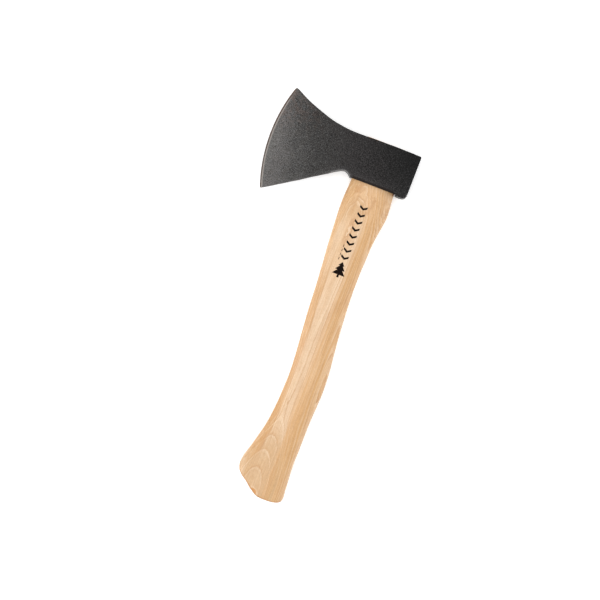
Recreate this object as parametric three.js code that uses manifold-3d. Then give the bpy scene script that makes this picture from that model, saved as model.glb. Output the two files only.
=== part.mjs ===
// Hatchet: forged head, hardwood haft, wooden kerf wedge and two steel cross
// wedges. Millimetres, +Z up. The hatchet lies on its side: +Y runs from the
// knob of the haft to the head, -X is the side of the cutting edge, +X the side
// of the poll, Z is the thickness. The origin is the middle of the foot of the
// bounding box, so the cheek of the head and the side of the knob rest on Z = 0.

import * as THREE from 'three';
import { mergeVertices } from 'three/addons/utils/BufferGeometryUtils.js';
import Module from 'manifold-3d';

const wasm = await Module();
wasm.setup();

// ---------------------------------------------------------------- dimensions
const THICKNESS = 25.0;              // across the cheeks, and across the knob
const MID_Z = THICKNESS / 2;         // plane of symmetry of the hatchet
const GAP = 0.3;                     // clearance left between touching pieces

const HEAD_FOOT_Y = 127.3;           // underside of the head, where the wood goes in
const HEAD_TOP_Y = 170.4;            // top of the head at the eye
const POLL_X = 71.9;                 // flat striking face of the poll

const EDGE_RADIUS = 157.5;           // the cutting edge is an arc
const EDGE_CENTRE = [85.6, 140.7];   // centre of that arc
const EDGE_HALF_THICKNESS = 0.25;    // the edge as delivered, not honed
const BEVEL_WIDTH = 2.5;             // ground strip behind the edge
const BEVEL_HALF_THICKNESS = 1.15;   // half thickness at the back of the strip

const EYE_X = 37.9;                  // middle of the eye
const EYE = [                        // hourglass eye: [y, half length, half width]
  [HEAD_FOOT_Y - 6, 22.2, 9.6],
  [HEAD_FOOT_Y, 21.9, 9.3],
  [HEAD_FOOT_Y + 11, 21.2, 8.7],
  [HEAD_FOOT_Y + 22, 20.9, 8.4],
  [HEAD_FOOT_Y + 33, 21.2, 8.7],
  [HEAD_TOP_Y, 21.7, 9.2],
  [HEAD_TOP_Y + 6, 22.0, 9.5],
];
const EYE_POWER = 2.5;               // squareness of the oval

const TONGUE_TOP_Y = HEAD_TOP_Y - 0.2;  // wood and wedges are sawn off flush
const WOOD_WEDGE = { top: 2.6, foot: 0.5, depth: 34 };            // half thicknesses
const STEEL_WEDGE = { top: 1.4, foot: 0.35, depth: 19, width: 12, spread: 10.5 };

// Half thickness of the head along X: flat over the eye and the poll, then a
// hollow taper to the blade.
const HEAD_TAPER = [
  [80, 12.5], [11.0, 12.5], [8.0, 12.3], [5.0, 11.7], [2.0, 10.75], [-1.5, 9.5],
  [-5.5, 8.15], [-10.0, 6.9], [-15.5, 5.75], [-22.0, 4.75], [-30.0, 3.85], [-39.0, 3.15],
  [-48.0, 2.6], [-57.0, 2.1], [-66.0, 1.65], [-76.0, 1.25],
];

// Half thickness of the head by distance from the centre of the edge arc: the
// ground strip and the thin blade follow the curve of the edge.
const EDGE_TAPER = [
  [EDGE_RADIUS, EDGE_HALF_THICKNESS],
  [EDGE_RADIUS - BEVEL_WIDTH, BEVEL_HALF_THICKNESS],
  [149, 1.6], [140, 2.2], [128, 3.3], [114, 5.8], [98, 10.6], [86, 17], [0, 17],
];

// Outline of the head seen on its cheek, except the cutting edge.
const TOP_EDGE = [
  [68.9, 170.35], [58.4, 170.4], [44.1, 170.4], [20.2, 170.15], [6.9, 169.9], [-2.2, 170.2],
  [-11.7, 171.3], [-22.9, 173.6], [-33.8, 176.9], [-43.2, 180.1], [-50.9, 183.2],
  [-58.0, 186.9], [-61.9, 188.9],
];
const TOE = [[-62.8, 189.4], [-63.5, 189.3], [-64.1, 188.8], [-64.6, 187.8]];
const HEEL = [[-63.4, 89.2], [-62.9, 88.0], [-62.3, 87.55], [-61.5, 87.6]];
const BEARD = [
  [-55.4, 91.2], [-42.5, 99.4], [-29.7, 107.6], [-17.2, 115.8], [-4.4, 124.1], [-1.2, 126.3],
  [2.1, 128.3], [4.5, 129.6], [7.1, 130.3], [9.2, 130.0], [11.7, 128.1], [13.3, 126.7],
  [14.6, 125.8],
];
const FOOT = [
  [15.2, 126.3], [15.3, HEAD_FOOT_Y], [60.7, HEAD_FOOT_Y], [61.2, 125.5], [63.4, 124.9],
  [67.2, 125.2], [69.5, 126.2], [71.0, 128.0], [71.7, 130.5],
];
const POLL = [[POLL_X, 133.0], [POLL_X, 166.9], [71.5, 168.6], [70.5, 169.8]];

// The haft seen on the head's cheek: [y, front x, back x, half thickness].
const HAFT = [
  [127.0, 15.95, 59.9, 9.55], [119.7, 15.7, 60.3, 9.8], [110.1, 15.3, 60.6, 10.0],
  [100.6, 15.3, 60.2, 10.1], [91.0, 15.7, 59.3, 10.1], [81.5, 16.3, 58.2, 10.05],
  [72.0, 17.0, 57.4, 10.0], [62.4, 17.7, 56.7, 9.9], [52.9, 18.5, 56.2, 9.85],
  [43.3, 19.4, 56.05, 9.8], [33.8, 20.1, 56.1, 9.8], [24.2, 20.8, 56.3, 9.85],
  [14.7, 21.5, 56.6, 9.9], [5.2, 22.1, 57.2, 9.95], [-4.4, 22.8, 57.9, 10.05],
  [-13.9, 23.6, 58.7, 10.15], [-23.5, 24.4, 59.6, 10.25], [-33.0, 25.2, 60.6, 10.4],
  [-42.6, 26.0, 61.6, 10.55], [-52.1, 26.8, 62.6, 10.7], [-61.7, 27.4, 63.3, 10.85],
  [-71.2, 27.7, 63.7, 11.0], [-80.7, 27.7, 63.7, 11.15], [-90.3, 27.3, 63.4, 11.3],
  [-99.8, 26.6, 63.0, 11.45], [-109.4, 25.6, 62.6, 11.6], [-118.9, 24.3, 62.4, 11.8],
  [-128.5, 22.5, 62.3, 12.0], [-138.0, 20.2, 62.3, 12.15], [-147.6, 17.8, 62.4, 12.3],
  [-157.1, 15.6, 62.8, 12.4], [-166.6, 14.5, 63.5, 12.47], [-176.2, 14.3, 64.2, 12.5],
  [-196.0, 14.3, 65.7, 12.5],
];
const HAFT_POWER = 2.45;             // squareness of the haft's oval
const HAFT_SIDES = 32;

// Outline of the sawn and rounded butt of the knob.
const BUTT = [
  [70, -172], [64.9, -179.5], [64.4, -183.6], [62.2, -186.6], [58.7, -188.1], [54.8, -188.9],
  [51.0, -189.3], [47.1, -189.4], [43.3, -189.1], [39.6, -188.2], [36.3, -186.7], [33.1, -184.6],
  [30.1, -182.3], [27.1, -179.9], [24.1, -177.5], [21.3, -175.0], [18.4, -172.2], [16.2, -169.3],
  [14.8, -166.0], [14.4, -162.0], [8, -150], [8, 140], [70, 140],
];

// ------------------------------------------------------------------ geometry
// Closed solid from a three.js geometry, with its faces pointing outwards.
function solid(geometry) {
  const plain = geometry.clone();
  plain.deleteAttribute('normal');
  plain.deleteAttribute('uv');
  const merged = mergeVertices(plain, 1e-4);
  const index = merged.index.array;
  const position = merged.attributes.position;
  const tris = [];
  let volume = 0;
  const a = new THREE.Vector3(), b = new THREE.Vector3(), c = new THREE.Vector3();
  for (let i = 0; i < index.length; i += 3) {
    const [p, q, r] = [index[i], index[i + 1], index[i + 2]];
    if (p === q || q === r || r === p) continue;
    tris.push(p, q, r);
    a.fromBufferAttribute(position, p);
    b.fromBufferAttribute(position, q);
    c.fromBufferAttribute(position, r);
    volume += a.dot(b.cross(c)) / 6;
  }
  if (volume < 0) {
    for (let i = 0; i < tris.length; i += 3) [tris[i + 1], tris[i + 2]] = [tris[i + 2], tris[i + 1]];
  }
  return new wasm.Manifold(new wasm.Mesh({
    numProp: 3,
    vertProperties: new Float32Array(position.array),
    triVerts: new Uint32Array(tris),
  }));
}

function geometryOf(manifold) {
  const mesh = manifold.getMesh();
  const geometry = new THREE.BufferGeometry();
  geometry.setAttribute('position', new THREE.BufferAttribute(new Float32Array(mesh.vertProperties), 3));
  geometry.setIndex(new THREE.BufferAttribute(new Uint32Array(mesh.triVerts), 1));
  geometry.computeVertexNormals();
  return geometry;
}

function shapeOf(points) {
  return new THREE.Shape(points.map(([x, y]) => new THREE.Vector2(x, y)));
}

// Outline in the XY plane, extruded through the thickness of the hatchet.
function plate(points, from = -5, to = THICKNESS + 5) {
  const geometry = new THREE.ExtrudeGeometry(shapeOf(points), { depth: to - from, bevelEnabled: false });
  geometry.translate(0, 0, from);
  return solid(geometry);
}

// Outline in the ZY plane, given as [z, y], extruded along X.
function bar(points, from, to) {
  const geometry = new THREE.ExtrudeGeometry(shapeOf(points), { depth: to - from, bevelEnabled: false });
  geometry.applyMatrix4(new THREE.Matrix4().makeBasis(
    new THREE.Vector3(0, 0, 1), new THREE.Vector3(0, 1, 0), new THREE.Vector3(-1, 0, 0)));
  geometry.translate(to, 0, 0);
  return solid(geometry);
}

// Outline in the XZ plane, given as [x, z], extruded along Y.
function slab(points, from, to) {
  const geometry = new THREE.ExtrudeGeometry(shapeOf(points), { depth: to - from, bevelEnabled: false });
  geometry.rotateX(Math.PI / 2);
  geometry.translate(0, to, 0);
  return solid(geometry);
}

// Solid through a row of oval sections across Y, each [y, centre x, a, b].
function loft(sections, power, sides) {
  const positions = [];
  const index = [];
  for (const [y, cx, a, b] of sections) {
    for (let i = 0; i < sides; i++) {
      const t = (i / sides) * Math.PI * 2;
      const c = Math.cos(t), s = Math.sin(t);
      positions.push(
        cx + a * Math.sign(c) * Math.abs(c) ** (2 / power),
        y,
        MID_Z + b * Math.sign(s) * Math.abs(s) ** (2 / power));
    }
  }
  const rows = sections.length;
  for (let r = 0; r + 1 < rows; r++) {
    for (let i = 0; i < sides; i++) {
      const j = (i + 1) % sides;
      const p = r * sides + i, q = r * sides + j, u = p + sides, v = q + sides;
      index.push(p, q, v, p, v, u);
    }
  }
  for (const r of [0, rows - 1]) {
    const [y, cx] = sections[r];
    const centre = positions.length / 3;
    positions.push(cx, y, MID_Z);
    for (let i = 0; i < sides; i++) {
      const p = r * sides + i, q = r * sides + ((i + 1) % sides);
      if (r === 0) index.push(centre, q, p);
      else index.push(centre, p, q);
    }
  }
  const geometry = new THREE.BufferGeometry();
  geometry.setAttribute('position', new THREE.Float32BufferAttribute(positions, 3));
  geometry.setIndex(index);
  return solid(geometry);
}

function eyeSolid(inset, power = EYE_POWER, sides = 36) {
  return loft(EYE.map(([y, a, b]) => [y, EYE_X, a - inset, b - inset]), power, sides);
}

// -------------------------------------------------------------------- pieces
function makeHead() {
  const edge = [];
  const a0 = Math.atan2(187.8 - EDGE_CENTRE[1], -64.6 - EDGE_CENTRE[0]);
  const a1 = Math.atan2(89.2 - EDGE_CENTRE[1], -63.4 - EDGE_CENTRE[0]) + Math.PI * 2;
  for (let i = 1; i < 12; i++) {
    const a = a0 + ((a1 - a0) * i) / 12;
    edge.push([EDGE_CENTRE[0] + (EDGE_RADIUS + 2) * Math.cos(a), EDGE_CENTRE[1] + (EDGE_RADIUS + 2) * Math.sin(a)]);
  }
  const outline = plate([...TOP_EDGE, ...TOE, ...edge, ...HEEL, ...BEARD, ...FOOT, ...POLL]);

  const upper = HEAD_TAPER.map(([x, h]) => [x, MID_Z + h]);
  const lower = HEAD_TAPER.map(([x, h]) => [x, MID_Z - h]).reverse();
  const taper = slab([...upper, ...lower], 60, 210);

  const rim = EDGE_TAPER.map(([r, h]) => new THREE.Vector2(r, h));
  const profile = [...rim.slice().reverse(), ...rim.map((p) => new THREE.Vector2(p.x, -p.y))];
  const disc = new THREE.LatheGeometry(profile, 96);
  disc.rotateX(Math.PI / 2);
  disc.translate(EDGE_CENTRE[0], EDGE_CENTRE[1], MID_Z);

  return outline.intersect(taper).intersect(solid(disc)).subtract(eyeSolid(0));
}

// The wooden wedge, or with grow > 0 the sawn kerf that it is driven into.
function kerfWedge(grow) {
  const foot = TONGUE_TOP_Y - WOOD_WEDGE.depth - grow * 4;
  const top = grow > 0 ? TONGUE_TOP_Y + 5 : TONGUE_TOP_Y;
  const slope = (WOOD_WEDGE.top - WOOD_WEDGE.foot) / WOOD_WEDGE.depth;
  const half = (y) => WOOD_WEDGE.foot + slope * (y - (TONGUE_TOP_Y - WOOD_WEDGE.depth)) + grow;
  return bar([
    [MID_Z - half(foot), foot], [MID_Z + half(foot), foot],
    [MID_Z + half(top), top], [MID_Z - half(top), top],
  ], EYE_X - 30, EYE_X + 30);
}

// A steel wedge across the wooden one, with barbed steps on both faces.
function crossWedge(side, grow) {
  const { top, foot, depth, width, spread } = STEEL_WEDGE;
  const x = EYE_X + side * spread;
  const head = grow > 0 ? TONGUE_TOP_Y + 5 : TONGUE_TOP_Y;
  const y0 = TONGUE_TOP_Y - depth;
  const half = (y) => foot + ((top - foot) * (y - y0)) / depth;
  const right = [];
  if (grow > 0) {
    right.push([half(y0) + grow, y0 - grow], [half(head) + grow, head]);
  } else {
    const barb = 0.22;
    right.push([half(y0), y0]);
    for (const y of [y0 + 5, y0 + 9, y0 + 13]) right.push([half(y), y], [half(y) - barb, y + 0.05]);
    right.push([half(head), head]);
  }
  const left = right.map(([h, y]) => [x - h, y]).reverse();
  return plate([...right.map(([h, y]) => [x + h, y]), ...left],
    MID_Z - width / 2 - grow, MID_Z + width / 2 + grow);
}

function makeHaft() {
  const sections = HAFT.map(([y, front, back, half]) => [y, (front + back) / 2, (back - front) / 2, half]).reverse();
  const body = loft(sections, HAFT_POWER, HAFT_SIDES).intersect(plate(BUTT));
  const sawnOff = plate([[0, 110], [80, 110], [80, TONGUE_TOP_Y], [0, TONGUE_TOP_Y]]);
  const tongue = eyeSolid(GAP).intersect(sawnOff);
  return body.add(tongue)
    .subtract(kerfWedge(GAP))
    .subtract(crossWedge(-1, GAP))
    .subtract(crossWedge(1, GAP));
}

function makeWoodWedge() {
  return kerfWedge(0).intersect(eyeSolid(GAP))
    .subtract(crossWedge(-1, GAP))
    .subtract(crossWedge(1, GAP));
}

// ------------------------------------------------------------------ assembly
const coatedSteel = new THREE.MeshStandardMaterial({ color: 0x3c3a38, roughness: 0.72, metalness: 0.35 });
const lacqueredWood = new THREE.MeshStandardMaterial({ color: 0xe2b98c, roughness: 0.5, metalness: 0.0 });
const wedgeWood = new THREE.MeshStandardMaterial({ color: 0xc79a68, roughness: 0.6, metalness: 0.0 });
const bareSteel = new THREE.MeshStandardMaterial({ color: 0xa8a6a2, roughness: 0.4, metalness: 0.9 });

const hatchet = new THREE.Group();

function addPiece(name, manifold, material) {
  const mesh = new THREE.Mesh(geometryOf(manifold), material);
  mesh.name = name;
  hatchet.add(mesh);
}

addPiece('head', makeHead(), coatedSteel);
addPiece('haft', makeHaft(), lacqueredWood);
addPiece('wood_wedge', makeWoodWedge(), wedgeWood);
addPiece('steel_wedge_front', crossWedge(-1, 0), bareSteel);
addPiece('steel_wedge_rear', crossWedge(1, 0), bareSteel.clone());

export default hatchet;
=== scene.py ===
import math

import bmesh
import bpy
import numpy as np
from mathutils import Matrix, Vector, noise
from mathutils.geometry import delaunay_2d_cdt


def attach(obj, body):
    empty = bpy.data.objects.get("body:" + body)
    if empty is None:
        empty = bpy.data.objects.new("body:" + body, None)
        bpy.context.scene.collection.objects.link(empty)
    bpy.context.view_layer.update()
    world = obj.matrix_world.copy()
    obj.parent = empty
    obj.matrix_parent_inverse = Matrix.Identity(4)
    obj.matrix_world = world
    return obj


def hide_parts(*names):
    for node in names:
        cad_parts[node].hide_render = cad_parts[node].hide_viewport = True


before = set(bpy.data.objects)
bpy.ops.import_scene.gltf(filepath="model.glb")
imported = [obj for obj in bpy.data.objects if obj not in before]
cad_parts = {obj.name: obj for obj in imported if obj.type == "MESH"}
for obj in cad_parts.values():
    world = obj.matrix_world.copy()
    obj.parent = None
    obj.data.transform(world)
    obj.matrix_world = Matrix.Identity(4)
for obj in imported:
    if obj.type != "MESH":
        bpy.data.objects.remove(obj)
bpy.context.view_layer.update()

MM = 0.001
MID = 12.5          # mid plane of the hatchet, mm
HALF = 12.5         # half the thickness over the cheeks and the knob

scene = bpy.context.scene


# ------------------------------------------------------------------ helpers
def spline(xs, ys):
    """Natural cubic spline through the points, as a function on numpy arrays."""
    xs, ys = np.array(xs, float), np.array(ys, float)
    if xs[0] > xs[-1]:
        xs, ys = xs[::-1], ys[::-1]
    n = len(xs)
    h = np.diff(xs)
    a = np.zeros((n, n))
    b = np.zeros(n)
    a[0, 0] = a[-1, -1] = 1
    for i in range(1, n - 1):
        a[i, i - 1], a[i, i], a[i, i + 1] = h[i - 1], 2 * (h[i - 1] + h[i]), h[i]
        b[i] = 6 * ((ys[i + 1] - ys[i]) / h[i] - (ys[i] - ys[i - 1]) / h[i - 1])
    m = np.linalg.solve(a, b)

    def f(x):
        x = np.asarray(x, float)
        xc = np.clip(x, xs[0], xs[-1])
        i = np.clip(np.searchsorted(xs, xc) - 1, 0, n - 2)
        t0, t1 = xc - xs[i], xs[i + 1] - xc
        return (
            (m[i] * t1**3 + m[i + 1] * t0**3) / (6 * h[i])
            + (ys[i] / h[i] - m[i] * h[i] / 6) * t1
            + (ys[i + 1] / h[i] - m[i + 1] * h[i] / 6) * t0
        )

    return f


def pchip(xs, ys):
    """Monotone cubic through the points: no overshoot at the ends of flats."""
    xs, ys = np.array(xs, float), np.array(ys, float)
    if xs[0] > xs[-1]:
        xs, ys = xs[::-1], ys[::-1]
    h = np.diff(xs)
    d = np.diff(ys) / h
    n = len(xs)
    m = np.zeros(n)
    m[0], m[-1] = d[0], d[-1]
    for i in range(1, n - 1):
        if d[i - 1] * d[i] > 0:
            w1, w2 = 2 * h[i] + h[i - 1], h[i] + 2 * h[i - 1]
            m[i] = (w1 + w2) / (w1 / d[i - 1] + w2 / d[i])

    def f(x):
        x = np.asarray(x, float)
        xc = np.clip(x, xs[0], xs[-1])
        i = np.clip(np.searchsorted(xs, xc) - 1, 0, n - 2)
        t = (xc - xs[i]) / h[i]
        return (
            (2 * t**3 - 3 * t**2 + 1) * ys[i]
            + (t**3 - 2 * t**2 + t) * h[i] * m[i]
            + (-2 * t**3 + 3 * t**2) * ys[i + 1]
            + (t**3 - t**2) * h[i] * m[i + 1]
        )

    return f


def smoothstep(a, b, x):
    t = np.clip((np.asarray(x, float) - a) / (b - a), 0, 1)
    return t * t * (3 - 2 * t)


def smin(a, b, k):
    """Smooth minimum, blended over a band k wide."""
    h = np.clip(0.5 + 0.5 * (b - a) / k, 0, 1)
    return b * (1 - h) + a * h - k * h * (1 - h)


def wave(x, y, z, seed=0.0):
    """Smooth noise in about -1..1."""
    return noise.noise(Vector((x + seed * 17.31, y - seed * 9.77, z + seed * 4.13)))


def new_object(name, verts, faces, smooth=True):
    """A mesh object from millimetre vertices."""
    mesh = bpy.data.meshes.new(name)
    mesh.from_pydata([(v[0] * MM, v[1] * MM, v[2] * MM) for v in verts], [], faces)
    mesh.validate()
    bm = bmesh.new()
    bm.from_mesh(mesh)
    bmesh.ops.recalc_face_normals(bm, faces=bm.faces)
    if bm.calc_volume(signed=True) < 0:
        bmesh.ops.reverse_faces(bm, faces=bm.faces)
    bm.to_mesh(mesh)
    bm.free()
    if smooth:
        mesh.polygons.foreach_set("use_smooth", [True] * len(mesh.polygons))
    o = bpy.data.objects.new(name, mesh)
    scene.collection.objects.link(o)
    return o


def point_attribute(o, name, values):
    a = o.data.attributes.new(name, "FLOAT", "POINT")
    a.data.foreach_set("value", list(map(float, values)))


def cut(o, *cutters):
    """Subtracts closed cutters from o for good."""
    for c in cutters:
        m = o.modifiers.new("cut", "BOOLEAN")
        m.operation = "DIFFERENCE"
        m.solver = "EXACT"
        m.object = c
        dg = bpy.context.evaluated_depsgraph_get()
        mesh = bpy.data.meshes.new_from_object(o.evaluated_get(dg), depsgraph=dg)
        o.modifiers.clear()
        old = o.data
        o.data = mesh
        mesh.name = old.name if old.users else o.name
        bpy.data.meshes.remove(old)
        bpy.data.objects.remove(c, do_unlink=True)


def tidy(o, angle=38.0):
    """Merges stray doubles and marks the real corners sharp."""
    bm = bmesh.new()
    bm.from_mesh(o.data)
    bmesh.ops.remove_doubles(bm, verts=bm.verts, dist=2e-7)
    bmesh.ops.dissolve_degenerate(bm, edges=bm.edges, dist=1e-7)
    loose = [v for v in bm.verts if not v.link_faces]
    bmesh.ops.delete(bm, geom=loose, context="VERTS")
    bm.to_mesh(o.data)
    bm.free()
    o.data.polygons.foreach_set("use_smooth", [True] * len(o.data.polygons))
    o.data.set_sharp_from_angle(angle=math.radians(angle))
    o.data.update()


# --------------------------------------------------------------- node tools
class Nodes:
    """A small builder for procedural materials."""

    def __init__(self, name):
        self.mat = bpy.data.materials.new(name)
        self.mat.use_nodes = True
        self.t = self.mat.node_tree
        self.t.nodes.clear()
        self.out = self.t.nodes.new("ShaderNodeOutputMaterial")
        self.bsdf = self.t.nodes.new("ShaderNodeBsdfPrincipled")
        self.link(self.bsdf.outputs[0], self.out.inputs[0])
        tc = self.t.nodes.new("ShaderNodeTexCoord")
        self.obj = self.vec("SCALE", tc.outputs["Object"], scale=1000.0)   # millimetres
        sep = self.t.nodes.new("ShaderNodeSeparateXYZ")
        self.link(self.obj, sep.inputs[0])
        self.x, self.y, self.z = sep.outputs

    def link(self, a, b):
        self.t.links.new(a, b)

    def put(self, sock, v):
        if v is None:
            return
        if isinstance(v, bpy.types.NodeSocket):
            self.link(v, sock)
        else:
            sock.default_value = v

    def math(self, op, a, b=None, c=None, clamp=False):
        n = self.t.nodes.new("ShaderNodeMath")
        n.operation = op
        n.use_clamp = clamp
        self.put(n.inputs[0], a)
        self.put(n.inputs[1], b)
        self.put(n.inputs[2], c)
        return n.outputs[0]

    def vec(self, op, a, b=None, scale=None):
        n = self.t.nodes.new("ShaderNodeVectorMath")
        n.operation = op
        self.put(n.inputs[0], a)
        if b is not None:
            self.put(n.inputs[1], b)
        if scale is not None:
            self.put(n.inputs["Scale"], scale)
        return n.outputs[0]

    def xyz(self, x, y, z):
        n = self.t.nodes.new("ShaderNodeCombineXYZ")
        self.put(n.inputs[0], x)
        self.put(n.inputs[1], y)
        self.put(n.inputs[2], z)
        return n.outputs[0]

    def map(self, v, a, b, c=0.0, d=1.0, smooth=False):
        n = self.t.nodes.new("ShaderNodeMapRange")
        n.interpolation_type = "SMOOTHSTEP" if smooth else "LINEAR"
        n.clamp = True
        self.put(n.inputs[0], v)
        for i, w in zip((1, 2, 3, 4), (a, b, c, d)):
            self.put(n.inputs[i], w)
        return n.outputs[0]

    def noise(self, vec, scale, detail=2.0, rough=0.5, distortion=0.0, dims="3D", w=None):
        n = self.t.nodes.new("ShaderNodeTexNoise")
        n.noise_dimensions = dims
        if dims != "1D":
            self.put(n.inputs["Vector"], vec)
        if w is not None:
            self.put(n.inputs["W"], w)
        n.inputs["Scale"].default_value = scale
        n.inputs["Detail"].default_value = detail
        n.inputs["Roughness"].default_value = rough
        n.inputs["Distortion"].default_value = distortion
        return n.outputs[0]

    def voronoi(self, vec, scale, feature="F1", rand=1.0):
        n = self.t.nodes.new("ShaderNodeTexVoronoi")
        n.feature = feature
        self.put(n.inputs["Vector"], vec)
        n.inputs["Scale"].default_value = scale
        n.inputs["Randomness"].default_value = rand
        return n.outputs["Distance"]

    def attr(self, name):
        n = self.t.nodes.new("ShaderNodeAttribute")
        n.attribute_name = name
        return n.outputs["Fac"]

    def ramp(self, fac, stops, mode="LINEAR"):
        n = self.t.nodes.new("ShaderNodeValToRGB")
        n.color_ramp.interpolation = mode
        e = n.color_ramp.elements
        while len(e) > 1:
            e.remove(e[-1])
        e[0].position, e[0].color = stops[0][0], (*stops[0][1], 1)
        for p, c in stops[1:]:
            q = e.new(p)
            q.color = (*c, 1)
        self.put(n.inputs[0], fac)
        return n.outputs[0]

    def mix(self, fac, a, b, mode="MIX"):
        n = self.t.nodes.new("ShaderNodeMix")
        n.data_type = "RGBA"
        n.blend_type = mode
        n.clamp_factor = True
        self.put(n.inputs[0], fac)
        for i, v in ((6, a), (7, b)):
            if isinstance(v, tuple):
                v = (*v, 1.0)
            self.put(n.inputs[i], v)
        return n.outputs[2]

    def bump(self, height, distance, strength=1.0, normal=None):
        n = self.t.nodes.new("ShaderNodeBump")
        n.inputs["Strength"].default_value = strength
        n.inputs["Distance"].default_value = distance
        self.put(n.inputs["Height"], height)
        if normal is not None:
            self.link(normal, n.inputs["Normal"])
        return n.outputs[0]

    def set(self, **k):
        names = {
            "color": "Base Color", "rough": "Roughness", "metal": "Metallic", "spec": "Specular IOR Level",
            "coat": "Coat Weight", "coat_rough": "Coat Roughness", "ior": "IOR", "normal": "Normal",
        }
        for key, v in k.items():
            if isinstance(v, tuple):
                v = (*v, 1.0)
            self.put(self.bsdf.inputs[names[key]], v)


def srgb(r, g, b):
    """sRGB 0..255 to linear."""
    return tuple(
        (c / 12.92 if c <= 0.04045 else ((c + 0.055) / 1.055) ** 2.4) for c in (r / 255, g / 255, b / 255)
    )


# ---------------------------------------------------------------- materials
def wood_material(name, end=False, tone=(1.0, 1.0, 1.0), turned=False):
    """Pale hardwood under satin lacquer. The growth rings are nested shells
    round a pith line under the haft: straight streaks where the line keeps its
    distance from the face, arches where it rises towards the knob."""
    n = Nodes(name)
    x, y, z = n.x, n.y, n.z
    lo, hi = -196.0, 134.0
    # along the haft: depth of the pith below the face, its x, height of the face
    table = [
        (-194, 13.8, 31.4, 25.0), (-184, 14.1, 31.4, 25.0), (-173, 14.9, 31.6, 25.0), (-162, 17.1, 32.0, 24.9),
        (-146, 20.9, 33.2, 24.8), (-131, 23.4, 35.2, 24.6), (-119, 24.8, 36.6, 24.3), (-110, 25.5, 37.2, 24.1),
        (-95, 25.6, 37.6, 23.9),
        (-60, 25.5, 37.4, 23.3), (-30, 25.42, 35.9, 22.9), (-3, 25.1, 35.0, 22.5), (30, 24.5, 33.4, 22.3),
        (60, 24.0, 32.8, 22.4), (80, 23.6, 32.6, 22.5), (96, 24.2, 32.4, 22.6), (108, 25.6, 32.0, 22.5),
        (118, 27.0, 31.6, 22.3), (133, 28.2, 31.0, 22.0),
    ]
    ramp = n.ramp(n.map(y, lo, hi), [
        ((q[0] - lo) / (hi - lo), ((q[1] - 5) / 25, (q[2] - 25) / 20, (q[3] - 20) / 10)) for q in table
    ], "B_SPLINE")
    sep = n.t.nodes.new("ShaderNodeSeparateColor")
    n.link(ramp, sep.inputs[0])
    depth = n.math("MULTIPLY_ADD", sep.outputs[0], 25.0, 5.0)
    px = n.math("MULTIPLY_ADD", sep.outputs[1], 20.0, 25.0)
    face = n.math("MULTIPLY_ADD", sep.outputs[2], 10.0, 20.0)
    dx = n.math("SUBTRACT", x, px)
    fall = n.math("SUBTRACT", face, z)
    # the growth layers lean with the sanded flat along the front
    lean = n.math("MULTIPLY", n.math("MINIMUM", n.math("MAXIMUM", n.math("SUBTRACT", fall, 0.3), 0.0), 4.5),
                  n.map(dx, -1.5, -4.5, 0, 1, smooth=True))
    dz = n.math("ADD", n.math("SUBTRACT", depth, fall), lean)
    if turned:
        # a wedge split from another piece: its rings stand on edge
        dx, dz = n.math("SUBTRACT", x, 5.0), n.math("ADD", n.math("MULTIPLY", z, 2.0), 6.0)
    r = n.math("SQRT", n.math("ADD", n.math("MULTIPLY", dx, dx), n.math("MULTIPLY", dz, dz)))

    def wander(fx, fy, amount, detail=1.0):
        v = n.noise(n.vec("MULTIPLY", n.obj, (fx, fy, fx)), 1.0, detail, 0.5)
        return n.math("MULTIPLY", n.math("SUBTRACT", v, 0.5), 2 * amount)

    r = n.math("ADD", r, wander(0.040, 0.0065, 0.42))
    r = n.math("ADD", r, wander(0.28, 0.035, 0.20, 2.0))
    r = n.math("ADD", r, n.math("MULTIPLY", wander(0.9, 0.26, 0.07, 2.0), n.map(r, 24.0, 26.0, 3.2, 1.0)))

    r = n.math("ADD", r, n.math("MULTIPLY", wander(0.13, 0.075, 0.9, 2.0), n.map(y, 70.0, 100.0, 0, 1, smooth=True)))
    # rings: a thin brown late line, then a thin pale early one
    year = n.math("MAXIMUM", n.math("SUBTRACT", r, 26.0), 0.0)
    for r0, r1 in ((4.0, 8.5), (8.5, 13.0), (13.0, 17.1), (17.1, 20.9), (20.9, 23.4), (23.4, 25.3), (25.3, 26.0)):
        year = n.math("ADD", year, n.map(r, r0, r1))
    # going inwards each layer starts pale behind its brown line and warms up
    phase = n.math("SUBTRACT", 1.0, n.math("FRACT", year))
    wide = n.map(r, 24.0, 26.0, 0.0, 1.0)
    late = n.math("MULTIPLY", n.map(phase, n.map(wide, 0, 1, 0.86, 0.70), n.map(wide, 0, 1, 0.955, 0.93), 0, 1, smooth=True),
                  n.map(phase, 0.965, 1.0, 1, 0, smooth=True))
    early = n.math("MULTIPLY", n.map(phase, 0.0, 0.04, 0, 1, smooth=True),
                   n.map(phase, n.map(wide, 0, 1, 0.06, 0.10), n.map(wide, 0, 1, 0.20, 0.32), 1, 0, smooth=True))
    thirds = n.math("FRACT", n.math("MULTIPLY_ADD", year, 3.0, 0.45))
    thirds = n.math("MULTIPLY", n.map(thirds, 0.55, 0.90, 0, 1, smooth=True), n.map(thirds, 0.92, 1.0, 1, 0, smooth=True))
    which = n.noise(None, 1.0, 0.0, 0.5, dims="1D", w=n.math("MULTIPLY_ADD", n.math("FLOOR", year), 1.37, 11.3))
    fade = n.noise(n.vec("MULTIPLY", n.obj, (0.10, 0.022, 0.10)), 1.0, 2.0, 0.5)
    power = n.math("MULTIPLY", n.map(which, 0.30, 0.70, 0.35, 1.0), n.map(fade, 0.32, 0.60, 0.30, 1.0))
    power = n.math("MULTIPLY", power, n.map(y, 70.0, 100.0, 1.0, 1.35, smooth=True))
    power = n.math("MULTIPLY", power, n.map(y, -105.0, -140.0, 1.0, 0.66, smooth=True))
    late = n.math("MULTIPLY", late, power, clamp=True)
    early = n.math("MULTIPLY", early, power)

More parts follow.
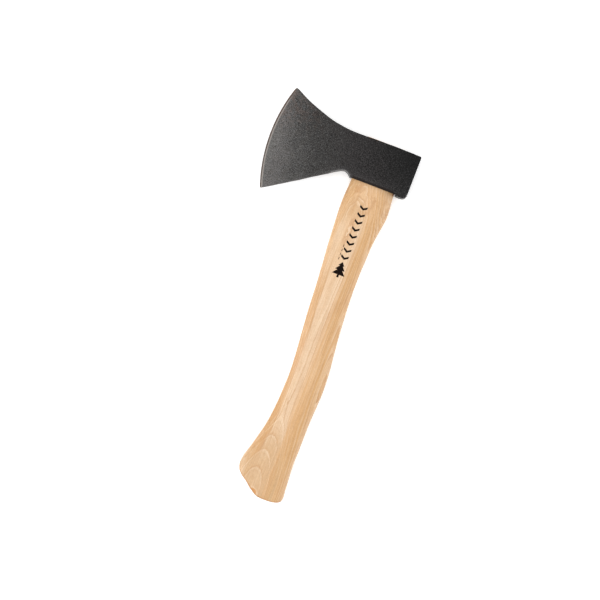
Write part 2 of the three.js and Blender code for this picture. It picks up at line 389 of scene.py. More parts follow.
    # the layer that the front flat cuts into
    along = n.math("MULTIPLY", n.map(y, 62.0, 10.0, 0, 1, smooth=True), n.map(y, -165.0, -138.0, 0, 1, smooth=True))
    edge = n.math("ADD", dx, wander(0.1, 0.012, 0.9))
    strip = n.math("MULTIPLY", n.map(edge, -4.7, -6.0, 0, 1, smooth=True), along)
    seam = n.math("MULTIPLY", n.map(edge, -4.6, -5.3, 0, 1, smooth=True), n.map(edge, -5.5, -6.6, 1, 0, smooth=True))
    seam = n.math("MULTIPLY", seam, along)
    # fibres: very long in Y, hair-thin across
    fibre = n.noise(n.vec("MULTIPLY", n.obj, (1.15, 0.024, 1.15)), 1.0, 3.0, 0.62, 0.12)
    broad = n.noise(n.vec("MULTIPLY", n.obj, (0.36, 0.008, 0.36)), 1.0, 3.0, 0.55, 0.2)
    bands = n.noise(None, 0.85, 2.0, 0.6, dims="1D", w=r)
    pores = n.noise(n.vec("MULTIPLY", n.obj, (2.6, 0.20, 2.6)), 1.0, 2.0, 0.5)
    pores = n.map(pores, 0.60, 0.72, 0, 1, smooth=True)
    fleck = n.noise(n.vec("MULTIPLY", n.obj, (0.95, 0.75, 0.95)), 1.0, 2.0, 0.6)
    cloud = n.noise(n.vec("MULTIPLY", n.obj, (0.10, 0.07, 0.10)), 1.0, 3.0, 0.6, 0.6)

    def shade(c, k=1.0):
        return tuple(a * b * k for a, b in zip(c, tone))

    pale, rosy, gold, deep, brown = (shade(c) for c in (WOOD_PALE, WOOD_ROSY, WOOD_GOLD, WOOD_DEEP, WOOD_BROWN))
    inner = n.mix(n.map(broad, 0.35, 0.65, 0.0, 0.8), pale, rosy)
    arch = n.map(r, 25.3, 23.0, 0.0, 1.0)
    inner = n.mix(n.math("MULTIPLY", arch, n.map(phase, 0.12, 0.92, 0.12, 0.95)), inner, gold)
    inner = n.mix(n.map(y, 78.0, 104.0, 0.0, 0.85, smooth=True), inner, n.mix(n.map(broad, 0.4, 0.6), gold, deep))
    inner = n.mix(n.map(y, -112.0, -150.0, 0.0, 1.0, smooth=True), inner,
                  n.mix(n.map(dx, -9.0, 12.0, 0.22, 0.85), inner, gold))
    ends_on = n.math("MAXIMUM", n.map(y, -108.0, -142.0, 0, 1, smooth=True), n.map(y, 82.0, 104.0, 0, 0.85, smooth=True))
    inner = n.mix(ends_on, inner, n.mix(1.0, inner, (0.865, 0.845, 0.79), "MULTIPLY"))
    outer = n.mix(n.map(bands, 0.42, 0.58, 0.0, 1.0, smooth=True), gold, deep)
    outer = n.mix(n.map(r, 30.5, 35.0, 0.0, 0.45), outer, rosy)
    zone = n.map(n.math("ADD", r, wander(0.5, 0.02, 0.35, 2.0)), 25.55, 26.65, 0, 1, smooth=True)
    col = n.mix(zone, inner, outer)
    col = n.mix(n.math("MULTIPLY", n.math("MULTIPLY", thirds, n.map(fade, 0.40, 0.62)), 0.20), col, brown)
    col = n.mix(n.math("MULTIPLY", late, n.map(zone, 0, 1, 0.78, 0.80)), col, brown)
    heart = n.math("MULTIPLY", n.map(x, 43.6, 46.0, 0, 1, smooth=True), n.map(x, 49.0, 53.5, 1, 0, smooth=True))
    heart = n.math("MULTIPLY", heart, n.map(y, -40.0, -90.0, 0.15, 1.0, smooth=True))
    col = n.mix(n.math("MULTIPLY", heart, n.map(broad, 0.36, 0.62, 0.25, 0.85)), col, deep)
    core = n.math("MULTIPLY", heart, n.map(y, -95.0, -125.0, 0, 1, smooth=True))
    col = n.mix(n.math("MULTIPLY", core, n.map(fibre, 0.38, 0.62, 0.10, 0.55)), col, n.mix(0.35, deep, brown))
    col = n.mix(n.math("MULTIPLY", strip, n.map(broad, 0.3, 0.7, 0.60, 1.0)), col, n.mix(0.36, deep, brown))
    col = n.mix(n.math("MULTIPLY", seam, n.map(fade, 0.35, 0.6, 0.18, 0.45)), col, brown)
    col = n.mix(n.math("MULTIPLY", early, 0.75), col, shade(WOOD_EARLY))
    col = n.mix(n.map(fibre, 0.46, 0.70, 0, 0.42), col, brown)
    col = n.mix(n.map(fibre, 0.44, 0.25, 0, 0.35), col, shade(WOOD_EARLY))
    col = n.mix(n.math("MULTIPLY", pores, 0.20), col, brown)
    # a little blotched and warmer in the throat under the head
    throat = n.map(y, 84.0, 112.0, 0.25, 1.0, smooth=True)
    col = n.mix(n.map(y, 76.0, 120.0, 0.0, 0.26, smooth=True), col, n.mix(n.map(cloud, 0.38, 0.62), gold, deep))
    col = n.mix(n.math("MULTIPLY", n.map(cloud, 0.50, 0.68, 0, 0.62), throat), col, brown)
    col = n.mix(1.0, col, n.mix(n.map(fleck, 0.32, 0.68), (0.93, 0.925, 0.91), (1.06, 1.06, 1.07)), "MULTIPLY")
    # a chipped corner on the butt, soaked dark
    cx, cy = n.math("SUBTRACT", x, 35.9), n.math("SUBTRACT", y, -184.9)
    ca = n.math("MULTIPLY", n.math("SUBTRACT", n.math("MULTIPLY", cx, 0.82), n.math("MULTIPLY", cy, 0.57)), 0.27)
    cb = n.math("MULTIPLY", n.math("ADD", n.math("MULTIPLY", cx, 0.57), n.math("MULTIPLY", cy, 0.82)), 0.50)
    cd = n.math("MULTIPLY", n.math("SUBTRACT", z, 24.0), 0.16)
    near = n.math("ADD", n.math("MULTIPLY", ca, ca), n.math("ADD", n.math("MULTIPLY", cb, cb), n.math("MULTIPLY", cd, cd)))
    near = n.math("ADD", n.math("SQRT", near), wander(0.5, 0.5, 0.25, 2.0))
    col = n.mix(n.map(near, 1.75, 1.15, 0, 0.45, smooth=True), col, shade(WOOD_EARLY))
    col = n.mix(n.map(near, 1.1, 0.75, 0, 0.9, smooth=True), col, shade(wood_tone(208, 142, 68)))
    # end grain drinks the lacquer and goes darker and more orange
    ends = n.attr("endgrain")
    spots = n.noise(n.vec("MULTIPLY", n.obj, (1.6, 1.6, 1.6)), 1.0, 3.0, 0.6)
    soaked = n.mix(n.map(spots, 0.3, 0.7, 0.0, 1.0), shade(END_LIGHT), shade(END_DARK))
    soaked = n.mix(n.math("MULTIPLY", late, 0.7), soaked, shade(END_DARK, 0.55))
    col = n.mix(ends, col, soaked)
    # a rust-red stain at the back corner under the head, and painted shade, nearly black, where the haft goes into the
    # head
    joint_shade = n.attr("joint_shade")
    rusty = n.math("MULTIPLY", n.map(x, 57.4, 59.0, 0, 1, smooth=True), n.map(y, 124.9, 126.2, 0, 1, smooth=True))
    col = n.mix(n.math("MULTIPLY", rusty, 0.9), col, (0.30, 0.085, 0.028))
    col = n.mix(joint_shade, col, (0.016, 0.007, 0.004))
    rough = n.map(fibre, 0.3, 0.8, 0.42, 0.54)
    rough = n.math("ADD", rough, n.math("MULTIPLY", ends, 0.14))
    h = n.math("ADD", n.math("MULTIPLY", fibre, 0.5), n.math("MULTIPLY", pores, -0.5))
    h = n.math("ADD", h, n.math("MULTIPLY", late, -0.3))
    h = n.math("ADD", h, n.math("MULTIPLY", fleck, 0.25))
    n.set(color=col, rough=rough, metal=0.0, spec=0.40, normal=n.bump(h, 0.00007, 0.6))
    n.bsdf.inputs["Coat Weight"].default_value = 0.0 if end else 0.35
    n.bsdf.inputs["Coat Roughness"].default_value = 0.24
    return n.mat


def wood_tone(r, g, b):
    return tuple(c * k for c, k in zip(srgb(r, g, b), (0.85, 0.84, 0.80)))


WOOD_PALE = wood_tone(230, 199, 166)
WOOD_ROSY = wood_tone(226, 192, 156)
WOOD_EARLY = wood_tone(236, 207, 174)
WOOD_GOLD = wood_tone(226, 186, 142)
WOOD_DEEP = wood_tone(217, 170, 116)
WOOD_BROWN = wood_tone(190, 137, 84)
END_LIGHT = wood_tone(214, 160, 102)
END_DARK = wood_tone(170, 108, 54)


def coat_material():
    """Dark textured coating over forged steel, greyer towards the blade, partly as thinner coating and partly as
    painted light, with the ground strip behind the edge, and lips partly rubbed, partly painted highlight."""
    n = Nodes("head_coat")
    x, y, z = n.x, n.y, n.z
    ex = n.math("SUBTRACT", x, 85.6)
    ey = n.math("SUBTRACT", y, 140.7)
    r = n.math("SQRT", n.math("ADD", n.math("MULTIPLY", ex, ex), n.math("MULTIPLY", ey, ey)))
    wob = n.math("SUBTRACT", n.noise(n.vec("MULTIPLY", n.obj, (0.25, 0.25, 0.0)), 1.0, 2.0, 0.5), 0.5)
    d = n.math("SUBTRACT", 157.5, n.math("ADD", r, n.math("MULTIPLY", wob, 0.5)))      # from the edge, mm
    mott = n.noise(n.vec("MULTIPLY", n.obj, (0.07, 0.07, 0.07)), 1.0, 3.0, 0.55, 0.4)
    cloud = n.noise(n.vec("MULTIPLY", n.obj, (0.23, 0.23, 0.23)), 1.0, 3.0, 0.6, 0.3)
    grain = n.noise(n.vec("MULTIPLY", n.obj, (1.25, 1.25, 1.25)), 1.0, 2.0, 0.8)
    fine = n.noise(n.vec("MULTIPLY", n.obj, (2.1, 2.1, 2.1)), 1.0, 2.0, 0.6)
    # painted light and shade: the ramp greys the head towards the blade, partly thinner coating, partly painted light;
    # lift darkens the upper part of the head as painted shade
    along = n.math("ADD", x, n.math("MULTIPLY", n.math("SUBTRACT", mott, 0.5), 14.0))
    high = n.map(y, 128.0, 172.0)
    lift = n.math("MULTIPLY", high, n.map(x, -58.0, -38.0, 12.0, 18.0))
    along = n.math("ADD", along, n.math("ADD", lift, n.map(x, -58.0, -38.0, -1.0, -4.0)))
    base = n.ramp(n.map(along, -72.0, 72.0), COAT)
    # painted shade, darker towards the upper corner of the poll; painted light, lighter along the lower edge
    corner = n.math("MULTIPLY", n.map(y, 134.0, 160.0, 0, 1), n.map(x, 22.0, 62.0, 0, 1))
    beard = n.math("MULTIPLY", n.math("SUBTRACT", y, n.math("MULTIPLY_ADD", x, 0.652, 127.6)), 0.84)
    lower_edge_light = n.math("MAXIMUM", beard, n.math("SUBTRACT", y, 127.6))
    lower_edge_light = n.math("MULTIPLY", n.map(lower_edge_light, 1.0, 9.0, 1, 0, smooth=True), n.map(x, 66.0, 44.0, 0.1, 1.0, smooth=True))
    painted_light_gain = n.math("MULTIPLY", n.math("MULTIPLY_ADD", corner, -0.66, 1.0),
                  n.math("MULTIPLY_ADD", lower_edge_light, n.map(x, -48.0, 36.0, 0.12, 0.68), 1.0))
    base = n.vec("SCALE", base, scale=painted_light_gain)
    tone = n.mix(n.map(cloud, 0.35, 0.68, 0, 1), (0.955, 0.96, 0.97), (1.06, 1.04, 1.02))
    base = n.mix(1.0, base, tone, "MULTIPLY")
    speck = n.math("ADD", n.math("MULTIPLY", grain, 0.65), n.math("MULTIPLY", fine, 0.35))
    strength = n.math("ADD", n.map(x, 60.0, 0.0, 0.29, 0.31), n.map(x, 0.0, -60.0, 0.0, 0.32))
    dots = n.math("MULTIPLY", n.math("SUBTRACT", speck, 0.5), strength)
    dots = n.math("ADD", dots, n.map(speck, 0.60, 0.74, 0, 0.03))
    dots = n.math("MULTIPLY", dots, n.math("MULTIPLY_ADD", corner, -0.45, 1.0))
    base = n.vec("MAXIMUM", n.vec("ADD", base, n.xyz(dots, dots, dots)), (0.002, 0.002, 0.002))
    # a breath of brown over the toe
    warm = n.math("MULTIPLY", n.map(y, 140.0, 176.0, 0, 1, smooth=True), n.map(x, -8.0, -45.0, 0, 1, smooth=True))
    base = n.mix(n.math("MULTIPLY", warm, n.map(cloud, 0.42, 0.62, 0, 0.6)), base, n.mix(1.0, base, (1.25, 0.98, 0.90), "MULTIPLY"))
    # lips where the coating is thin and rubbed; dark where it has run thick
    # lips: partly rubbed coating, partly painted highlight on the lower lips; dark brown on the top edge and painted
    # shade along the foot
    rim = n.attr("rim")
    rub_and_painted_light = n.math("MULTIPLY", n.map(rim, 0.0, 1.0), n.map(grain, 0.36, 0.56, 0.45, 1.0))
    base = n.mix(n.math("MULTIPLY", rub_and_painted_light, 0.88), base, COAT_RUB_HIGHLIGHT)
    base = n.mix(n.map(rim, 0.0, -1.0, 0, 0.85), base, (0.016, 0.010, 0.0075))
    # painted shade: a dark band on the head just above where it sits on the haft
    foot_shade = n.math("MULTIPLY", n.map(x, 15.6, 17.5, 0, 1, smooth=True), n.map(x, 60.0, 57.5, 0, 1, smooth=True))
    foot_shade = n.math("MULTIPLY", foot_shade, n.map(y, 127.7, 128.3, 0.5, 1.0))
    foot_shade = n.math("MULTIPLY", foot_shade, n.map(n.math("ADD", y, n.math("MULTIPLY", wob, 0.8)), 130.1, 129.1, 0, 0.80, smooth=True))
    base = n.mix(foot_shade, base, (0.0085, 0.0050, 0.0036))
    # ground strip: brown lacquered steel at the edge, a bright grey burr line behind it
    upper = n.map(y, 120.0, 186.0, 0.0, 1.0)
    brown = n.mix(upper, EDGE_LOW, EDGE_HIGH)
    streak = n.noise(n.vec("MULTIPLY", n.obj, (0.35, 0.35, 1.0)), 1.0, 3.0, 0.6)
    brown = n.mix(n.map(streak, 0.4, 0.75, 0, 0.5), brown, n.mix(1.0, brown, (0.6, 0.55, 0.52), "MULTIPLY"))
    burr = n.math("MULTIPLY", n.map(d, 1.20, 1.55, 0, 1, smooth=True), n.map(d, 2.0, 2.9, 1, 0, smooth=True))
    burr = n.math("MULTIPLY", burr, n.map(y, 172.0, 183.0, 1.0, 0.15, smooth=True))
    strip = n.map(d, 1.45, 1.05, 0, 1, smooth=True)
    col = n.mix(n.math("MULTIPLY", burr, 0.85), base, EDGE_BURR)
    col = n.mix(strip, col, brown)
    bare = n.math("MAXIMUM", strip, n.math("MULTIPLY", burr, 0.6))
    rough = n.math("ADD", n.map(grain, 0.3, 0.7, 0.52, 0.68), n.math("MULTIPLY", bare, -0.16))
    metal = n.math("MULTIPLY", bare, 0.25)
    h = n.math("ADD", n.math("MULTIPLY", grain, 0.75), n.math("MULTIPLY", fine, 0.35))
    h = n.math("MULTIPLY", h, n.math("SUBTRACT", 1.0, n.math("MULTIPLY", bare, 0.85)))
    n.set(color=col, rough=rough, metal=metal, spec=0.11, normal=n.bump(h, 0.00022, 0.8))
    return n.mat


# coat tones from the blade (0) to the poll (1): partly the coating's own tone, partly painted light
COAT = [
    (0.00, srgb(98, 97, 95)), (0.09, srgb(91, 89, 88)), (0.20, srgb(70, 69, 68)), (0.34, srgb(54, 53, 52)),
    (0.60, srgb(43, 41, 41)), (0.80, srgb(35, 33, 33)), (1.0, srgb(27, 26, 26)),
]
COAT_RUB_HIGHLIGHT = srgb(148, 147, 146)
EDGE_LOW = srgb(84, 74, 68)
EDGE_HIGH = srgb(86, 68, 58)
EDGE_BURR = srgb(146, 139, 134)


def steel_material():
    """Plain steel wedge, hammered flush: scratched, a little stained."""
    n = Nodes("wedge_steel")
    scratch = n.noise(n.vec("MULTIPLY", n.obj, (4.0, 1.0, 0.35)), 1.0, 3.0, 0.6)
    stain = n.noise(n.vec("MULTIPLY", n.obj, (0.5, 0.5, 0.5)), 1.0, 3.0, 0.6)
    col = n.mix(n.map(scratch, 0.3, 0.7), srgb(150, 147, 142), srgb(112, 109, 105))
    col = n.mix(n.map(stain, 0.52, 0.72, 0, 0.6), col, srgb(104, 82, 62))
    n.set(color=col, metal=0.85, rough=n.map(scratch, 0.3, 0.7, 0.34, 0.52), normal=n.bump(scratch, 0.00004, 0.6))
    return n.mat


def ink_material():
    n = Nodes("print_ink")
    v = n.noise(n.vec("MULTIPLY", n.obj, (1.2, 0.35, 1.2)), 1.0, 3.0, 0.6)
    col = n.mix(n.map(v, 0.45, 0.75, 0, 0.5), srgb(12, 5, 3), srgb(38, 21, 14))
    n.set(color=col, rough=n.map(v, 0.3, 0.7, 0.55, 0.70), spec=0.06, normal=n.bump(v, 0.00003, 0.4))
    return n.mat


# --------------------------------------------------------------------- head
EDGE_R, EDGE_CX, EDGE_CY = 157.45, 85.6, 140.7
HEAD_FOOT, HEAD_TOP = 127.6, 170.4

h_by_x = pchip(
    [80, 11.0, 8.0, 5.0, 2.0, -1.5, -5.5, -10.0, -15.5, -22.0, -30.0, -39.0, -48.0, -57.0, -66.0, -76.0],
    [12.5, 12.5, 12.3, 11.7, 10.75, 9.5, 8.15, 6.9, 5.75, 4.75, 3.85, 3.15, 2.6, 2.1, 1.65, 1.25],
)
BEVEL = 1.7


def h_by_r(r):
    """Half thickness by distance from the centre of the edge arc."""
    back = np.interp(r, [0, 86, 98, 114, 128, 140, 149, EDGE_R - BEVEL, 170], [17, 17, 10.6, 5.8, 3.3, 2.2, 1.6, 1.15, 0.1])
    strip = 0.25 + (EDGE_R - r) * (1.15 - 0.25) / BEVEL
    return np.where(r > EDGE_R - BEVEL, strip, back)


def cheek(x, y, side):
    """Half thickness of the head over (x, y), in mm."""
    x, y = np.atleast_1d(np.asarray(x, float)), np.atleast_1d(np.asarray(y, float))
    r = np.hypot(x - EDGE_CX, y - EDGE_CY)
    blade = h_by_r(np.minimum(r, EDGE_R))
    h = smin(h_by_x(x), blade, 0.5)
    h = np.where(r > 154.6, np.minimum(blade, h_by_x(x)), h)
    # forging: the flats are a little uneven, always inwards
    dent = np.array([
        0.5 + 0.5 * wave(a * 0.05, b * 0.05, 1.7, side) + 0.35 * wave(a * 0.13, b * 0.13, 5.1, side)
        for a, b in zip(x, y)
    ])
    amp = np.interp(r, [0, 140, 152, 155], [0.10, 0.08, 0.02, 0.0])
    return h - amp * np.clip(dent, 0, 1.3)


def head_outline():
    """Dense outline of the cheek, anticlockwise, with the rounding of the edge
    and the lip mark at each point: [x, y, rho, lip mark]. The lip mark is partly rubbed coating and partly painted
    highlight on the lower lips; negative values give a dark brown line on the top edge and painted shade along the
    foot."""
    pts = []

    def run(points, rho, rub_and_painted_light, step=0.8, smooth=True):
        p = np.array(points, float)
        t = np.concatenate([[0], np.cumsum(np.hypot(*np.diff(p, axis=0).T))])
        n = max(2, int(round(t[-1] / step)))
        s = np.linspace(0, t[-1], n + 1)[:-1]
        if smooth and len(p) > 2:
            xs, ys = spline(t, p[:, 0])(s), spline(t, p[:, 1])(s)
        else:
            xs, ys = np.interp(s, t, p[:, 0]), np.interp(s, t, p[:, 1])
        for a, b in zip(xs, ys):
            pts.append([float(a), float(b), rho, rub_and_painted_light])

    def corner(cx, cy, rad, a0, a1, rho, rub_and_painted_light, n=9):
        for k in range(n):
            a = math.radians(a0 + (a1 - a0) * k / n)
            pts.append([cx + rad * math.cos(a), cy + rad * math.sin(a), rho, rub_and_painted_light])

    # poll face, upwards, then the top corner
    run([[71.62, 131.2], [71.62, 168.4]], 1.0, 0.0, smooth=False)
    corner(70.12, 168.42, 1.5, 0, 86, 0.7, 0.0, 8)
    run([[70.2, 169.92], [58.4, 170.25], [44.1, 170.33], [20.2, 169.8], [6.9, 169.6], [-2.2, 169.98],
         [-11.7, 171.15], [-22.9, 173.6], [-33.8, 177.05], [-43.2, 180.4], [-50.9, 183.6], [-58.0, 187.25],
         [-61.6, 188.95]], 0.75, -0.45)
    # toe
    run([[-61.6, 188.85], [-62.5, 189.28], [-63.2, 189.28], [-63.8, 188.85], [-64.15, 188.2]], 0.3, 0.0, 0.25)
    a0 = math.atan2(188.0 - EDGE_CY, -64.4 - EDGE_CX)
    a1 = math.atan2(88.9 - EDGE_CY, -63.1 - EDGE_CX) + 2 * math.pi
    n = 150
    for k in range(n):
        a = a0 + (a1 - a0) * (k + 0.5) / n
        pts.append([EDGE_CX + EDGE_R * math.cos(a), EDGE_CY + EDGE_R * math.sin(a), 0.2, 0.0])
    # from the heel round to the poll the lower lips get a lip mark that is partly rub, partly painted highlight; the
    # foot over the haft (-1.0) is painted shade
    # heel
    run([[-62.95, 88.55], [-62.5, 87.95], [-61.8, 87.68], [-61.0, 87.86]], 0.3, 0.35, 0.25)
    run([[-61.0, 87.86], [-55.4, 91.4], [-48.8, 95.6], [-42.5, 99.6], [-36.3, 103.75], [-29.7, 107.95], [-23.4, 112.35],
         [-17.2, 116.45], [-10.7, 120.6], [-4.4, 124.75]], 0.85, 0.22)
    run([[-4.4, 124.75], [-1.2, 126.95], [2.1, 128.95], [4.5, 130.2], [6.6, 130.85], [8.4, 130.95], [10.0, 130.4],
         [11.7, 129.3], [13.1, 128.1], [14.1, 127.2]], 1.25, 0.85, 0.6)
    run([[14.1, 127.2], [14.7, 126.85], [15.15, 126.75], [15.35, 127.0], [15.4, HEAD_FOOT]], 0.5, 0.8, 0.22)
    run([[15.4, HEAD_FOOT], [60.5, HEAD_FOOT]], 0.35, -1.0, 0.8, smooth=False)
    run([[60.5, HEAD_FOOT], [60.65, 126.5], [61.2, 125.85], [62.2, 125.55]], 0.5, 0.5, 0.25)
    run([[62.2, 125.55], [64.5, 125.4], [67.0, 125.55], [68.8, 125.95], [70.1, 126.65], [71.0, 127.55], [71.45, 128.6],
         [71.58, 129.8], [71.62, 131.2]], 0.9, 0.95, 0.4)
    out = []
    for x, y, rho, rub_and_painted_light in pts:
        # hammered and trimmed outlines are never dead straight
        if -60 < x < 69 and y > 169:
            y -= 0.10 + 0.12 * wave(x * 0.11, 0.3, 0.0, 2.0)
        if -59 < x < 2 and y < 129:
            y += 0.16 * wave(x * 0.16, 7.3, 0.0, 3.0)
        out.append([x, y, rho, rub_and_painted_light])
    return np.array(out)


def make_head():
    o = head_outline()
    p = o[:, :2]
    n = len(p)
    nxt, prv = np.roll(p, -1, 0), np.roll(p, 1, 0)
    t = (nxt - prv) / np.linalg.norm(nxt - prv, axis=1)[:, None]
    inward = np.stack([-t[:, 1], t[:, 0]], 1)           # the outline runs anticlockwise
    # smooth the roundings along the outline
    rho, rub_and_painted_light = o[:, 2].copy(), o[:, 3].copy()
    for _ in range(6):
        rho = (np.roll(rho, 1) + 2 * rho + np.roll(rho, -1)) / 4
        rub_and_painted_light = (np.roll(rub_and_painted_light, 1) + 2 * rub_and_painted_light + np.roll(rub_and_painted_light, -1)) / 4
    steps = np.radians([0, 18, 36, 54, 72, 90])
    verts, rim_attr, faces = [], [], []
    rings = []

    def add_ring(xy, z, r):
        start = len(verts)
        for (a, b), c, q in zip(xy, z, r):
            verts.append((a, b, c))
            rim_attr.append(q)
        rings.append(list(range(start, start + n)))

    tops = {}
    for side in (1, -1):
        probe = p + inward * rho[:, None]
        h_in = cheek(probe[:, 0], probe[:, 1], side)
        rr = np.minimum(rho, 0.8 * h_in)
        inner = p + inward * rr[:, None]
        h_in = cheek(inner[:, 0], inner[:, 1], side)
        rr = np.minimum(rr, 0.9 * h_in)
        tops[side] = (rr, h_in)
    # rings from the upper cheek's inner ring, over the rim, down the wall, to the lower cheek
    rr, hh = tops[1]
    # the lip mark is strongest half way round each rounding (glow), partly wear, partly painted highlight
    for a in steps[::-1]:
        xy = p + inward * (rr * (1 - math.cos(a)))[:, None]
        glow = math.sin(2 * a) ** 0.8 if 0 < a < math.pi / 2 else 0.0
        add_ring(xy, MID + hh - rr + rr * math.sin(a), rub_and_painted_light * (0.35 + 0.65 * glow) if a < 1.5 else rub_and_painted_light * 0.1)
    r2, h2 = tops[-1]
    for k in range(1, 8):
        f = k / 8
        z = (MID + hh - rr) * (1 - f) + (MID - h2 + r2) * f
        add_ring(p, z, rub_and_painted_light * 0.40)
    for a in steps:
        xy = p + inward * (r2 * (1 - math.cos(a)))[:, None]
        glow = math.sin(2 * a) ** 0.8 if 0 < a < math.pi / 2 else 0.0
        add_ring(xy, MID - h2 + r2 - r2 * math.sin(a), rub_and_painted_light * (0.35 + 0.65 * glow) if a < 1.5 else rub_and_painted_light * 0.1)
    for a, b in zip(rings, rings[1:]):
        for i in range(n):
            j = (i + 1) % n
            faces.append((a[i], a[j], b[j], b[i]))

    # fill both cheeks
    for side, ring in ((1, rings[0]), (-1, rings[-1])):
        loop = np.array([verts[i][:2] for i in ring])
        pts2 = [Vector((float(a), float(b))) for a, b in loop]
        edges = [(i, (i + 1) % n) for i in range(n)]

        def inside(q, gap):
            x0, y0 = loop[:, 0], loop[:, 1]
            x1, y1 = np.roll(x0, -1), np.roll(y0, -1)
            hit = ((y0 > q[1]) != (y1 > q[1])) & (q[0] < (x1 - x0) * (q[1] - y0) / (y1 - y0 + 1e-12) + x0)
            if hit.sum() % 2 == 0:
                return False
            dx, dy = x1 - x0, y1 - y0
            s = np.clip(((q[0] - x0) * dx + (q[1] - y0) * dy) / (dx * dx + dy * dy + 1e-12), 0, 1)
            return np.hypot(x0 + s * dx - q[0], y0 + s * dy - q[1]).min() > gap

        # two close lines hold the crease behind the ground strip, a few more shape the blade
        for back, gap in ((0.8, 0.35), (BEVEL - 0.12, 0.35), (BEVEL + 0.16, 0.35), (BEVEL + 0.9, 0.5)):
            rad = EDGE_R - back
            last = None
            for k in range(1, 140):
                a = math.radians(160.9) + (math.radians(199.9) - math.radians(160.9)) * k / 140
                q = (EDGE_CX + rad * math.cos(a), EDGE_CY + rad * math.sin(a))
                if inside(q, gap):
                    pts2.append(Vector(q))
                    if last is not None:
                        edges.append((last, len(pts2) - 1))
                    last = len(pts2) - 1
                else:
                    last = None
        s = 1.7
        row = 0
        yy = 85.0
        while yy < 191:
            xx = -73.0 + (s / 2 if row % 2 else 0)
            while xx < 73:
                q = (xx + 0.1 * math.sin(yy * 3.1), yy + 0.1 * math.cos(xx * 2.7))
                if math.hypot(q[0] - EDGE_CX, q[1] - EDGE_CY) < EDGE_R - BEVEL - 1.9 and inside(q, 0.8):
                    pts2.append(Vector(q))
                xx += s
            yy += s * 0.866
            row += 1
        v2, _, f2, orig, _, _ = delaunay_2d_cdt(pts2, edges, [], 1, 1e-6)
        index = []
        zs = cheek([v.x for v in v2], [v.y for v in v2], side)
        for v, names, h in zip(v2, orig, zs):
            ringed = [i for i in names if i < n]
            if ringed:
                index.append(ring[ringed[0]])
            else:
                index.append(len(verts))
                verts.append((v.x, v.y, MID + side * float(h)))
                rim_attr.append(0.0)
        for f in f2:
            g = [index[i] for i in f]
            if len(set(g)) > 2:
                faces.append(tuple(g))
    head = new_object("forged_head", verts, faces)
    point_attribute(head, "rim", rim_attr)
    # the eye, with its mouths eased
    sections = [
        (HEAD_FOOT - 6, 22.7, 10.1), (HEAD_FOOT - 0.05, 22.35, 9.75), (HEAD_FOOT + 0.6, 21.9, 9.3),
        (HEAD_FOOT + 11, 21.2, 8.7), (HEAD_FOOT + 22, 20.9, 8.4), (HEAD_FOOT + 33, 21.2, 8.7),
        (HEAD_TOP - 0.75, 21.67, 9.17), (HEAD_TOP - 0.2, 22.15, 9.6), (HEAD_TOP + 6, 24.0, 11.5),
    ]
    cut(head, oval_loft("eye", sections, 96))
    tidy(head, 40)
    head.data.materials.clear()
    head.data.materials.append(coat_material())
    return head


def oval_loft(name, sections, sides, cx=37.9, power=2.5):
    verts, faces = [], []
    for y, a, b in sections:
        for i in range(sides):
            t = 2 * math.pi * i / sides
            c, s = math.cos(t), math.sin(t)
            verts.append((cx + a * math.copysign(abs(c) ** (2 / power), c), y,
                          MID + b * math.copysign(abs(s) ** (2 / power), s)))
    for r in range(len(sections) - 1):
        for i in range(sides):
            j = (i + 1) % sides
            faces.append((r * sides + i, r * sides + j, (r + 1) * sides + j, (r + 1) * sides + i))
    faces.append(tuple(range(sides)))
    faces.append(tuple(range((len(sections) - 1) * sides, len(sections) * sides)))
    return new_object(name, verts, faces)


# --------------------------------------------------------------------- haft
HAFT = np.array([
    [127.0, 15.95, 59.9, 9.55], [119.7, 15.7, 60.5, 9.8], [110.1, 15.3, 61.0, 10.0],
    [100.6, 15.3, 60.7, 10.1], [91.0, 15.7, 59.7, 10.1], [81.5, 16.3, 58.4, 10.05],
    [72.0, 17.0, 57.4, 10.0], [62.4, 17.7, 56.7, 9.9], [52.9, 18.5, 56.2, 9.85],
    [43.3, 19.4, 56.05, 9.8], [33.8, 20.1, 56.1, 9.8], [24.2, 20.8, 56.3, 9.85],
    [14.7, 21.5, 56.6, 9.9], [5.2, 22.1, 57.2, 9.95], [-4.4, 22.8, 57.9, 10.05],
    [-13.9, 23.6, 58.7, 10.15], [-23.5, 24.4, 59.6, 10.25], [-33.0, 25.2, 60.6, 10.4],
    [-42.6, 26.0, 61.6, 10.55], [-52.1, 26.8, 62.6, 10.7], [-61.7, 27.4, 63.3, 10.85],
    [-71.2, 27.7, 63.7, 11.0], [-80.7, 27.7, 63.7, 11.15], [-90.3, 27.3, 63.4, 11.3],
    [-99.8, 26.6, 63.0, 11.45], [-109.4, 25.6, 62.6, 11.6], [-118.9, 24.3, 62.4, 11.8],
    [-128.5, 22.5, 62.3, 12.0], [-138.0, 20.2, 62.3, 12.15], [-147.6, 17.8, 62.4, 12.3],
    [-157.1, 15.6, 62.8, 12.4], [-166.6, 14.5, 63.5, 12.47], [-176.2, 14.3, 64.2, 12.5],
    [-196.0, 14.3, 65.7, 12.5],
])
trim_front = pchip([130, 120, 112, 100, 80, 60, 40, 20, 0, -15, -45, -65, -83, -100, -117, -130, -145, -155, -165, -175, -196],
                   [0.3, 0.3, 0.15, -0.05, -0.12, -0.28, -0.2, -0.05, -0.2, -0.3, -0.05, -0.1, -0.42, -0.2, -0.05, -0.25,
                    -0.35, -0.85, -1.0, -0.5, -0.3])
